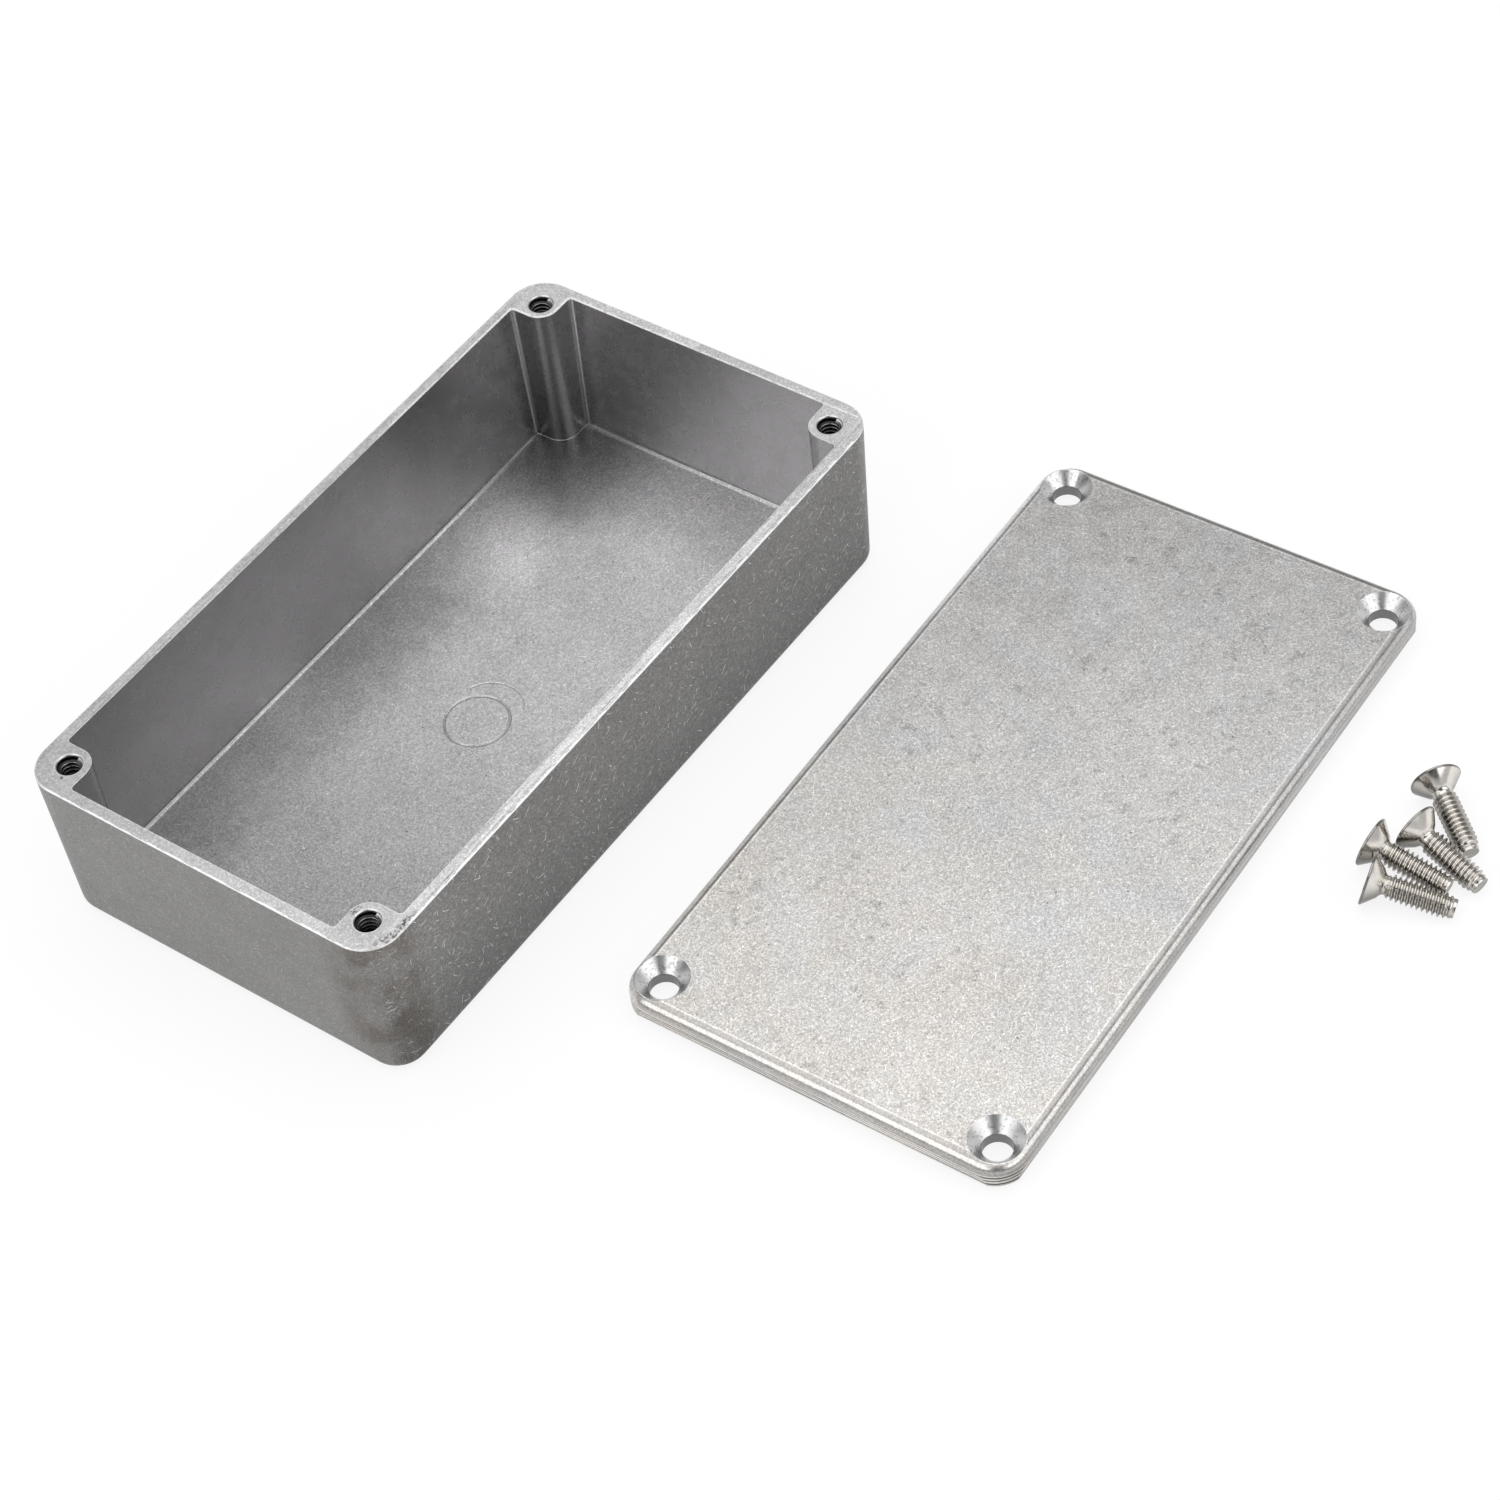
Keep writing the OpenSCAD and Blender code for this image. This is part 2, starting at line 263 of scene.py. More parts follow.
def tumbled_casting(tree, position, flat, alloy, tone, contrast, struck, marks, matt, wear_and_highlight, edge, crisp,
                    machined, machined_tone_and_shade):
    """Die cast aluminium, tumbled with stones: a dull grey metal with a fine grain, a share of short random
    strokes that catch the light, and edges that wear bright, where the same mask also paints a highlight
    along inner corners. It is smooth where it was machined, with its own tone there, and flat up to its edges
    where it is crisp."""
    new = partial(add, tree)
    true_normal = new("NewGeometry").outputs["Normal"]
    # real grain and strokes are a few hundredths wide; they are drawn at 0.13 mm or more so that they show
    crystals = new("SeparateColor", new("TexVoronoi", position, Scale=per(0.17)).outputs["Color"]).outputs[0]
    grain = new("TexNoise", position, Scale=per(0.38), Detail=1.0, Roughness=0.6)
    mottle = new("TexNoise", position, Scale=per(3.0), Detail=3.0, Roughness=0.6)
    cloud = new("TexNoise", position, Scale=per(11), Detail=4.0, Roughness=0.55)
    fine = strokes(tree, flat, 0.6, 0.13, 0.42, 0.7, 0.5)
    short = strokes(tree, flat, 1.0, 0.13, 0.38, 0.45, 0.2)
    long = strokes(tree, flat, 2.1, 0.13, 0.32, 0.2, 0.1)
    specks = strokes(tree, flat, 1.4, 0.3, 0.1, 0.15, 1.0)

    drawn = new("Math", new("Math", fine, 0.3, **TIMES), new("Math", short, 0.5, **TIMES), **PLUS)
    drawn = new("Math", drawn, new("Math", new("Math", long, specks, **PLUS), 0.5, **TIMES), **PLUS)
    drawn = new("Math", drawn, struck, **TIMES)
    texture = new("MapRange", new("Math", crystals, crystals, **TIMES), 0.0, 1.0, -0.14, 0.28)
    texture = new("Math", texture, new("MapRange", grain, 0.3, 0.7, -0.09, 0.09, clamp=False), **PLUS)
    texture = new("Math", texture, new("MapRange", mottle, 0.3, 0.7, -0.045, 0.045, clamp=False), **PLUS)
    texture = new("Math", new("Math", texture, contrast, **TIMES), new("Math", drawn, marks, **PLUS), **PLUS)
    texture = new("Math", texture, new("MapRange", cloud, 0.3, 0.7, 0.95, 1.05, clamp=False), **PLUS)
    level = new("Math", new("Math", texture, 0.2, **LARGER), tone, **TIMES)

    # edge wear, which also paints a highlight along inner corners: where a rounded normal leaves the true one
    rounded = new("Bevel", edge, samples=8)
    cosine = new("VectorMath", rounded, true_normal, **DOT)
    patchy = new("TexNoise", position, Scale=per(0.9), Detail=2.0)
    patchy = new("MapRange", patchy, 0.35, 0.6, 0.3, 1.0, **SMOOTH)
    at_edge = new("MapRange", cosine, 0.99, 0.9, **SMOOTH)
    wear_and_highlight = new("Math", new("Math", wear_and_highlight, patchy, **TIMES), at_edge, **TIMES)
    normal = new("Mix", crisp, rounded, true_normal, data_type="VECTOR")

    shade = new("CombineColor", level, level, level)
    base = new("Mix", 1.0, alloy, shade, data_type="RGBA", blend_type="MULTIPLY")
    # a light colour at the edges: wear on outer edges, a painted highlight along inner corners
    base = new("Mix", wear_and_highlight, base, colour("EEEDEB"), data_type="RGBA")
    machined_colour_and_shade = new("CombineColor", machined_tone_and_shade, machined_tone_and_shade, machined_tone_and_shade)
    base = new("Mix", machined, base, machined_colour_and_shade, data_type="RGBA")

    rough = new("Math", new("MapRange", mottle, 0.3, 0.7, -0.04, 0.04), matt, **PLUS)
    rough = new("Math", rough, new("Math", drawn, 0.2, **TIMES), **MINUS)
    rough = new("Mix", machined, rough, 0.32)
    relief = new("Math", new("Math", grain, contrast, **TIMES), drawn, **PLUS)
    relief = new("Math", relief, new("Math", 1.0, machined, **MINUS), **TIMES)
    bump = new("Bump", Strength=0.3, Distance=0.02 * MM, Height=relief, Normal=normal)
    shader = new("BsdfPrincipled", Metallic=1.0, Roughness=rough, Normal=bump, **{"Base Color": base})
    new("OutputMaterial", shader)


# The box's finish


def box_places(tree):
    """Where a point lies on the box: its coordinates and masks for the kinds of faces."""
    new = partial(add, tree)
    position = new("VectorMath", new("TexCoord").outputs["Object"], IN_MM, **TIMES)
    x, y, z = new("SeparateXYZ", position).outputs
    plan = new("VectorMath", position, (1.0, 1.0, 0.0), **TIMES)
    quarter = new("VectorMath", plan, **SIZE)
    normal = new("NewGeometry").outputs["True Normal"]
    facing = new("SeparateXYZ", normal)

    outside = new("Math", new("VectorMath", plan, normal, **DOT), 0.0, **OVER)
    level = new("MapRange", facing.outputs["Z"], 0.6, 0.9, **SMOOTH)
    end = new("MapRange", new("Math", facing.outputs["X"], **SIZE), 0.55, 0.95, **SMOOTH)
    end = new("Math", end, outside, **TIMES)
    floor = new("Math", level, new("Math", z, 3.0, **LESS), **TIMES)
    rim = new("MapRange", z, RIM_HEIGHT - 0.1, RIM_HEIGHT - 0.04, **SMOOTH)
    rim = new("Math", level, rim, **TIMES)
    inside = new("Math", new("Math", 1.0, outside, **MINUS), new("Math", 1.0, level, **MINUS), **TIMES)
    return SimpleNamespace(
        position=position, x=x, y=y, z=z, plan=plan, quarter=quarter, facing=facing,
        flat=face_coordinates(tree, position, facing),
        inset=inside_outline(tree, quarter, HALF_LENGTH, HALF_WIDTH, RIM_CORNER),
        outside=outside, level=level, end=end, floor=floor, rim=rim, inside=inside)


def painted_arris_highlight(tree, at):
    """A painted highlight along the outer arrises of the -X and the -Y wall, also round the corner between
    them.
    """
    new = partial(add, tree)
    near_walls = new("Math", new("Math", at.x, -50.0, **LESS), new("Math", at.y, -24.0, **LESS), **LARGER)
    uneven = new("TexNoise", at.position, Scale=per(1.6), Detail=2.0)
    uneven = new("MapRange", uneven, 0.4, 0.55, 0.08, 0.0)
    highlit_strip = new("MapRange", new("Math", at.inset, uneven, **PLUS), 0.25, 0.17, **SMOOTH)
    highlit_strip = new("Math", highlit_strip, near_walls, **TIMES)
    return new("Math", highlit_strip, new("Math", at.z, RIM_HEIGHT - 0.24, **OVER), **TIMES)


def tapped_holes(tree, at):
    """Where the tapped holes are, and their tone: a painted highlight at the mouth and on the crests, and
    painted shade at the roots and further down."""
    new = partial(add, tree)
    bored = spot(tree, at.quarter, (HOLE_X, HOLE_Y), 2.02, 1.96)
    bored = new("Math", bored, new("Math", at.z, 11.0, **OVER), **TIMES)
    # painted shade in the holes: dark at the roots, lighter on the crests, and darker further down
    painted_hole_shade = spot(tree, at.quarter, (HOLE_X, HOLE_Y), TAP_CREST + 0.08, TAP_CREST + 0.01, 0.04, 0.75)
    painted_hole_shade = new("Math", painted_hole_shade, new("MapRange", at.z, RIM_HEIGHT - 0.6, RIM_HEIGHT - 3.5, 1.0, 0.15), **TIMES)
    # painted highlight at the mouth
    mouth = new("MapRange", at.z, RIM_HEIGHT - 0.52, RIM_HEIGHT - 0.34, **SMOOTH)
    return bored, coats(tree, painted_hole_shade, (mouth, 0.66))


def handling_stains(tree, at):
    """Brown blotches down the outside of one corner."""
    new = partial(add, tree)
    blotch = new("TexNoise", at.position, Scale=per(6), Detail=3.0)
    blotch = new("MapRange", blotch, 0.4, 0.62, 0.25, 1.0, **SMOOTH)
    stained = new("Math", spot(tree, at.plan, STAINED_CORNER, 8.5, 2.5), at.outside, **TIMES)
    return new("Math", stained, blotch, **TIMES)


def floor_marks(tree, at):
    """Painted shade in the ejector pin's groove, an arc beside it, and thin scratches."""
    new = partial(add, tree)
    painted_groove_shade = new("VectorMath", at.plan, (*EJECTOR_MARK, 0.0), **DISTANCE)
    painted_groove_shade = new("Math", between(tree, painted_groove_shade, 4.52, 4.78, 0.08), -0.16, **TIMES)
    arc = new("VectorMath", at.plan, (*SECOND_ARC, 0.0), **DISTANCE)
    arc = new("Math", between(tree, arc, 5.0, 5.14, 0.05),
              new("MapRange", at.x, 1.8, 2.8, 0.0, -0.12, **SMOOTH), **TIMES)
    marks = new("Math", painted_groove_shade, arc, **PLUS)
    for start, end in FLOOR_SCRATCHES:
        scratch = line_mark(tree, at.flat, start, end, 0.16)
        marks = new("Math", marks, new("Math", scratch, 0.3, **TIMES), **PLUS)
    return new("Math", marks, at.floor, **TIMES)


def burrs_and_dent(tree, at):
    """Two bright burrs at one end of the rim, and a dark dent beside a hole."""
    new = partial(add, tree)
    burrs = new("Math", *(line_mark(tree, at.flat, start, end, 0.3) for start, end in RIM_BURRS), **PLUS)
    dent = spot(tree, at.plan, RIM_DENT, 0.3, 0.15, 0.0, -0.7)
    return new("Math", new("Math", burrs, 0.6, **TIMES), dent, **PLUS)


def cast_in_grit(tree, at):
    """Dark grit at the stained corner, in the rim's outer edge and at the boss's inner lip."""
    new = partial(add, tree)
    edge = new("MapRange", at.inset, 1.5, 0.8, **SMOOTH)
    edge = new("Math", spot(tree, at.plan, GRITTY_EDGE, 4.4, 1.6), edge, **TIMES)
    near = new("Math", edge, spot(tree, at.plan, GRITTY_LIP, 1.7, 0.8), **LARGER)
    grit = new("TexNoise", at.position, Scale=per(0.55), Detail=3.0)
    grit = new("MapRange", grit, 0.46, 0.56, 0.0, -0.75, **SMOOTH)
    grit = new("Math", new("Math", grit, near, **TIMES), new("Math", at.inset, 0.2, **OVER), **TIMES)
    return new("Math", grit, at.rim, **TIMES)


def boss_drag_marks(tree, at):
    """Two light drag marks down the boss of the far corner."""
    new = partial(add, tree)
    up_boss = new("CombineXYZ", new("Math", at.x, at.y, **MINUS), at.z, 0.0)
    pulled = new("Math", line_mark(tree, up_boss, (25.55, 26.2), (26.04, 15.6), 0.32),
                 line_mark(tree, up_boss, (26.66, 26.0), (26.65, 13.2), 0.26), **PLUS)
    pulled = new("Math", new("Math", pulled, 0.12, **TIMES), new("Math", at.x, 45.0, **OVER), **TIMES)
    return new("Math", pulled, at.inside, **TIMES)


def boss_edge_highlight(tree, at):
    """A painted highlight: a bright thin line along the rim's inner edge, around the boss of the far corner.
    """
    new = partial(add, tree)
    nose = new("VectorMath", (HOLE_X, HOLE_Y, 0.0), at.plan, **MINUS)
    nose = new("VectorMath", new("VectorMath", nose, (0.0, 0.0, 0.0), **LARGER), **LENGTH)
    wall_x, wall_y = HALF_LENGTH - WALL, HALF_WIDTH - WALL
    within = new("Math", new("Math", at.x, wall_x, **LESS), new("Math", at.y, wall_y, **LESS), **TIMES)
    painted_edge_line = new("Math", between(tree, nose, 2.56, 3.0, 0.05), within, **TIMES)
    for across, wall, beside, reach in ((at.x, wall_x, at.y, 22.5), (at.y, wall_y, at.x, 48.3)):
        line = between(tree, across, wall, wall + 0.3, 0.05)
        line = new("Math", line, new("MapRange", beside, reach - 14, reach - 4, 0.3, 1.0), **TIMES)
        line = new("Math", line, new("Math", beside, reach, **LESS), **TIMES)
        painted_edge_line = new("Math", painted_edge_line, line, **LARGER)
    ragged = new("TexNoise", at.position, Scale=per(1.3), Detail=3.0)
    ragged = new("MapRange", ragged, 0.34, 0.5, 0.1, 1.4, **SMOOTH)
    painted_edge_line = new("Math", new("Math", painted_edge_line, ragged, **TIMES), at.rim, **TIMES)
    return new("Math", painted_edge_line, new("Math", at.x, 20.0, **OVER), **TIMES)


def stone_strokes(tree, at):
    """Strokes of the tumbling stones, which catch the light on the long outer walls."""
    new = partial(add, tree)
    scars = new("Math", strokes(tree, at.flat, 1.3, 0.15, 0.32, 0.5, 0.0),
                strokes(tree, at.flat, 2.9, 0.16, 0.28, 0.4, 0.0), **PLUS)
    strength = coats(tree, 3.0, (at.end, 0.8), (at.level, 0.0))
    return new("Math", new("Math", scars, at.outside, **TIMES), strength, **TIMES)


def rim_grinding(tree, at):
    """Lengthwise grinding lines on the rim's long stretches; on one of them a dark score line near its outer
    edge and a line of painted shadow along its inner edge.
    """
    new = partial(add, tree)
    lengthwise = new("VectorMath", at.position, (0.04, 1.0, 1.0), **TIMES)
    drag = new("TexNoise", lengthwise, Scale=per(0.45), Detail=1.0)
    long = new("Math", new("Math", at.y, **SIZE), HALF_WIDTH - 1.85, **OVER)
    drag = new("Math", new("MapRange", drag, 0.3, 0.7, -0.13, 0.13, clamp=False), long, **TIMES)
    score_and_shadow = new("Math", between(tree, at.y, -29.72, -29.56, 0.06),
                between(tree, at.y, -28.62, -28.45, 0.06), **PLUS)
    broken = new("MapRange", new("TexNoise", at.position, Scale=per(2.5)), 0.4, 0.6, 0.0, 0.35)
    score_and_shadow = new("Math", score_and_shadow, broken, **TIMES)
    score_and_shadow = new("Math", score_and_shadow, new("MapRange", at.x, -46.0, -42.0, **SMOOTH), **TIMES)
    return new("Math", new("Math", drag, score_and_shadow, **MINUS), at.rim, **TIMES)


def painted_floor_light(tree, at):
    """Painted light and shade on the floor: painted shade towards -X and into the far corner, painted light
    along the -X half of the +Y wall, and one painted highlight."""
    new = partial(add, tree)
    floor_shade = new("MapRange", at.x, -50.0, 10.0, 0.62, 1.0, **SMOOTH)
    floor_shade = new("Math", floor_shade, spot(tree, at.plan, FAR_CORNER, 33, 8, 1.0, 0.47), **TIMES)
    along_wall = new("Math", new("MapRange", at.y, 6.0, 22.0, 0.0, 0.22, **SMOOTH),
                     new("MapRange", at.x, 0.0, -15.0, **SMOOTH), **TIMES)
    floor_shade = new("Math", floor_shade, new("Math", along_wall, 1.0, **PLUS), **TIMES)
    return new("Math", spot(tree, at.plan, PAINTED_FLOOR_HIGHLIGHT, 14, 4, 1.18, 1.5), floor_shade, **TIMES)


def painted_rim_light(tree, at):
    """Painted light on the ground rim: brightest towards -Y and +X, with painted shade on the -Y wall's far
    half, and dimmer around the stained corner's hole."""
    new = partial(add, tree)
    ground = new("Math", new("MapRange", at.y, -28.0, 28.0, 1.7, 1.42),
                 new("MapRange", at.x, -50.0, 55.0, 0.84, 1.2), **TIMES)
    painted_dimming = new("Math", new("MapRange", at.x, 5.0, 35.0, 0.0, 0.2), new("Math", at.y, 0.0, **LESS), **TIMES)
    ground = new("Math", ground, new("Math", 1.0, painted_dimming, **MINUS), **TIMES)
    return new("Math", ground, spot(tree, at.plan, STAINED_RIM, 7, 3, 1.0, 0.84), **TIMES)


def painted_inner_wall_light(tree, at):
    """Painted light on the walls of the far corner, most of all towards the top, and on walls that face -X;
    its boss gets its own painted light and shade, darkest on the flank that faces the box's other end."""
    new = partial(add, tree)
    facing_x = at.facing.outputs["X"]
    light = spot(tree, at.plan, FAR_CORNER, 32, 10)
    light = new("Math", light, new("MapRange", at.z, 4.0, 25.0, 1.0, 1.6, **SMOOTH), **TIMES)
    light = new("Math", light, new("MapRange", facing_x, 0.0, -0.6, 1.1, 0.25), **TIMES)
    walls = new("Math", light, new("MapRange", facing_x, 0.0, -0.6, 0.92, 1.24), **PLUS)
    in_corner = new("Math", new("VectorMath", at.plan, (*FAR_CORNER, 0.0), **DISTANCE), 10.0, **LESS)
    boss = new("Math", spot(tree, at.quarter, (HOLE_X, HOLE_Y), 4.2, 3.7), in_corner, **TIMES)
    return coats(tree, walls, (boss, new("MapRange", facing_x, -0.9, -0.3, 0.6, 1.35)))


def box_material(inner, outer):
    """Tumbled outside, as it left the die inside, and ground on the rim."""
    material, tree = new_material("Die cast aluminium, tumbled")
    new = partial(add, tree)
    at = box_places(tree)
    arris = painted_arris_highlight(tree, at)
    bored, bored_painted_light = tapped_holes(tree, at)
    stained = handling_stains(tree, at)
    marks = floor_marks(tree, at)
    for more in (burrs_and_dent, cast_in_grit, boss_drag_marks, boss_edge_highlight, stone_strokes, rim_grinding):
        marks = new("Math", marks, more(tree, at), **PLUS)

    contrast = coats(tree, 1.2, (at.end, 0.8), (at.inside, 0.12), (at.floor, 1.15), (at.rim, 1.0),
                     (arris, 0.3))
    struck = coats(tree, 2.2, (at.end, 1.0), (at.inside, 0.12), (at.floor, 1.8), (at.rim, 0.5),
                   (arris, 0.1))
    wear_and_highlight = coats(tree, 1.0, (at.inside, 0.5), (at.floor, 0.35), (at.rim, 1.0))
    matt = coats(tree, 0.46, (at.inside, 0.27), (at.floor, 0.37), (at.rim, 0.36))
    # the long outer walls get a lower tone than the inside and the ends: painted shade
    tone = coats(tree, 0.70, (at.end, 0.78), (at.inside, painted_inner_wall_light(tree, at)),
                 (at.floor, painted_floor_light(tree, at)), (at.rim, painted_rim_light(tree, at)), (arris, 0.95))
    # painted shade: the long outer walls are darker towards their foot
    painted_foot_shade = coats(tree, new("MapRange", at.z, 2.0, 24.0, 0.62, 1.14), (at.end, 1.0), (at.rim, 1.0),
                 (at.floor, 1.0), (at.inside, 1.0))
    tone = new("Math", tone, painted_foot_shade, **TIMES)
    tone = new("Math", tone, new("MapRange", stained, 0.0, 1.0, 1.0, 0.66), **TIMES)

    alloy = new("Mix", at.outside, inner, outer, data_type="RGBA")
    alloy = new("Mix", new("Math", stained, 0.5, **TIMES), alloy, colour("94887C"), data_type="RGBA")
    # painted highlight: the outer arrises of the -X and -Y walls are mixed to near white
    alloy = new("Mix", arris, alloy, colour("FCFCFC"), data_type="RGBA")
    tumbled_casting(tree, at.position, at.flat, alloy=alloy, tone=tone, contrast=contrast, struck=struck,
                    marks=marks, matt=matt, wear_and_highlight=wear_and_highlight, edge=0.24 * MM, crisp=at.rim, machined=bored,
                    machined_tone_and_shade=bored_painted_light)
    return material


# The lid's finish


def trim_lines_and_ledge_light(tree, position, z):
    """Drag lines of the trimming tool along the lid's sides. Each of its steps holds a line of painted shade
    below a painted highlight."""
    new = partial(add, tree)
    around = new("VectorMath", position, (0.03, 0.03, 1.0), **TIMES)
    drag = new("TexNoise", around, Scale=per(0.75), Detail=2.0)
    lines = new("MapRange", drag, 0.3, 0.7, -0.3, 0.3, clamp=False)
    for step in range(1, TRIM_STEPS + 1):
        ledge = LID_TOP - LID_HEIGHT + step * TRIM_STEP
        # painted shade just below each ledge, and a painted highlight just above it
        dark = new("Math", between(tree, z, ledge - 0.28, ledge - 0.02, 0.03), 0.75, **TIMES)
        bright = new("Math", between(tree, z, ledge, ledge + 0.2, 0.03), 0.5, **TIMES)
        lines = new("Math", new("Math", lines, dark, **MINUS), bright, **PLUS)
    return lines


def dull_hollows(tree, position):
    """Shallow dull hollows in groups, where the grinding didn't reach."""
    new = partial(add, tree)
    groups = new("MapRange", new("TexNoise", position, Scale=per(14), Detail=2.0), 0.46, 0.6, **SMOOTH)
    hollows = new("TexNoise", position, Scale=per(2.2), Detail=3.0, Roughness=0.6)
    hollows = new("MapRange", hollows, 0.57, 0.66, **SMOOTH)
    return new("Math", hollows, groups, **TIMES)


def lid_tint(tree, position, x, alloy):
    """The alloy's colour, warmer at the -X end, with warmer and cooler patches."""
    new = partial(add, tree)
    patches = new("TexNoise", position, Scale=per(7), Detail=3.0)
    warm = new("MapRange", patches, 0.35, 0.65, 0.35, 1.0, **SMOOTH)
    warm = new("Math", warm, new("MapRange", x, -50.0, 0.0, 1.0, 0.3), **TIMES)
    tint = new("Mix", warm, alloy, colour("C6C2BD"), data_type="RGBA")
    cool = new("MapRange", patches, 0.5, 0.36, **SMOOTH)
    cool = new("Math", cool, new("MapRange", x, -45.0, -10.0), **TIMES)
    return new("Mix", new("Math", cool, 0.5, **TIMES), tint, colour("C2C3C6"), data_type="RGBA")


def lid_material(alloy):
    """Ground on top, trimmed along the sides, and countersunk with a cutter."""
    material, tree = new_material("Die cast aluminium, top ground")
    new = partial(add, tree)
    position = new("VectorMath", new("TexCoord").outputs["Object"], IN_MM, **TIMES)
    position = new("Mapping", position, vector_type="TEXTURE", Location=(*LID_PLACE, 0.0),
                   Rotation=(0.0, 0.0, math.radians(LID_TURN)))
    facing = new("SeparateXYZ", new("NewGeometry").outputs["True Normal"])
    flat = face_coordinates(tree, position, facing)
    x, y, z = new("SeparateXYZ", position).outputs
    quarter = new("VectorMath", new("VectorMath", position, (1.0, 1.0, 0.0), **TIMES), **SIZE)

    inset = inside_outline(tree, quarter, LID_HALF_LENGTH, LID_HALF_WIDTH, LID_CORNER)
    high = new("MapRange", z, LID_TOP - 0.02, LID_TOP - 0.005, **SMOOTH)
    top = new("Math", high, new("MapRange", inset, LID_BEAD + 0.02, LID_BEAD + 0.1, **SMOOTH), **TIMES)
    # painted highlight: a bright line along the crease where the top meets the bead
    crease_highlight = new("Math", high, between(tree, inset, LID_BEAD, LID_BEAD + 0.25, 0.06), **TIMES)
    side = new("MapRange", new("Math", facing.outputs["Z"], **SIZE), 0.3, 0.12, **SMOOTH)
    far_bead = new("Math", new("MapRange", facing.outputs["Y"], 0.1, 0.4, **SMOOTH),
                   new("Math", 1.0, side, **MINUS), **TIMES)

    marks = new("Math", trim_lines_and_ledge_light(tree, position, z), side, **TIMES)
    marks = new("Math", marks, new("Math", crease_highlight, 0.34, **TIMES), **PLUS)
    hollows = new("Math", dull_hollows(tree, position), new("Math", top, 0.22, **TIMES), **TIMES)
    marks = new("Math", marks, hollows, **MINUS)

    # the screw seats are pitted, and the holes below them get painted shade
    seat = new("Math", spot(tree, quarter, (HOLE_X, HOLE_Y), 3.80, 3.74),
               new("MapRange", z, LID_TOP - 0.01, LID_TOP - 0.03, **SMOOTH), **TIMES)
    pits = new("TexNoise", position, Scale=per(0.4), Detail=2.0)
    pits = new("MapRange", pits, 0.56, 0.64, 0.72, 0.45, **SMOOTH)
    cut = coats(tree, pits, (spot(tree, quarter, (HOLE_X, HOLE_Y), 2.12, 2.08), 0.2))

    # painted shade on the bead where it leaves the top and a painted highlight around its middle; along the
    # +Y side the bead is rougher and painted lighter, the -Y side below it gets painted shade, and the top is
    # painted a little darker towards +X and +Y
    painted_bead_shade = between(tree, z, LID_TOP - 0.17, LID_TOP - 0.003, 0.004)
    painted_bead_highlight = between(tree, z, LID_TOP - 0.6, LID_TOP - 0.2, 0.03)
    painted_side_shade = new("MapRange", facing.outputs["Y"], -0.9, -0.5, 0.66, 0.95)
    along = new("Math", new("Math", x, 0.8, **TIMES), y, **PLUS)
    painted_top_shade = new("MapRange", along, -56.0, 56.0, 0.91, 0.86)
    tone = coats(tree, 0.82, (painted_bead_highlight, 1.25), (painted_bead_shade, 0.68), (far_bead, 1.7), (side, painted_side_shade),
                 (top, painted_top_shade))
    contrast = coats(tree, 0.9, (side, 0.7), (top, 1.35))
    struck = coats(tree, 0.5, (side, 0.2), (top, 1.7))
    matt = coats(tree, 0.31, (far_bead, 0.65))
    edge = coats(tree, 0.16 * MM, (side, 0.05 * MM))
    tumbled_casting(tree, position, flat, alloy=lid_tint(tree, position, x, alloy), tone=tone,
                    contrast=contrast, struck=struck, marks=marks, matt=matt, wear_and_highlight=0.8, edge=edge, crisp=top,
                    machined=seat, machined_tone_and_shade=cut)
    return material


# The screws' finish


def nickel_material(name, plating, shade, low, rough):
    """Bright nickel on steel: a warm, mirror-like metal with a little haze, duller where rolls formed it."""
    material, tree = new_material(name)
    new = partial(add, tree)
    position = new("VectorMath", new("TexCoord").outputs["Object"], IN_MM, **TIMES)
    haze = new("TexNoise", position, Scale=per(0.5), Detail=2.0, Roughness=0.6)
    cloud = new("TexNoise", position, Scale=per(1.2), Detail=2.0)
    tone = new("MapRange", cloud, 0.3, 0.7, 0.9 * shade, shade)
    # painted shade: the sides that face the table are darker
    upward = new("SeparateXYZ", new("NewGeometry").outputs["Normal"]).outputs["Z"]
    tone = new("Math", tone, new("MapRange", upward, -0.3, 0.5, low, 1.0, **SMOOTH), **TIMES)
    grey = new("CombineColor", tone, tone, tone)
    base = new("Mix", 1.0, plating, grey, data_type="RGBA", blend_type="MULTIPLY")
    rounded = new("Bevel", 0.05 * MM, samples=4)
    bump = new("Bump", Strength=0.15, Distance=0.01 * MM, Height=haze, Normal=rounded)
    rough = new("MapRange", haze, 0.3, 0.7, 0.7 * rough, 1.3 * rough)
    shader = new("BsdfPrincipled", Metallic=1.0, Roughness=rough, Normal=bump, **{"Base Color": base})
    new("OutputMaterial", shader)
    return material


# Meshes


def finish_piece(name, bm, materials):
    """Makes a bmesh a piece that rides on the box's body."""
    bmesh.ops.remove_doubles(bm, verts=bm.verts, dist=1e-7)
    bmesh.ops.recalc_face_normals(bm, faces=bm.faces)
    mesh = bpy.data.meshes.new(name)
    bm.to_mesh(mesh)
    bm.free()
    for material in materials:
        mesh.materials.append(material)
    piece = bpy.data.objects.new(name, mesh)
    bpy.context.scene.collection.objects.link(piece)
    mesh.shade_smooth()
    mesh.set_sharp_from_angle(angle=math.radians(35))
    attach(piece, BODY)
    return piece


def widen(bm, edges, radius, height, old_radius):
    """Extrudes a ring of edges about Z to another radius and height. Returns the new ring's edges."""
    made = bmesh.ops.extrude_edge_only(bm, edges=edges)["geom"]
    verts = [g for g in made if isinstance(g, bmesh.types.BMVert)]
    bmesh.ops.scale(bm, vec=(radius / old_radius, radius / old_radius, 1), verts=verts)
    bmesh.ops.translate(bm, vec=(0, 0, height), verts=verts)
    return [g for g in made if isinstance(g, bmesh.types.BMEdge)]


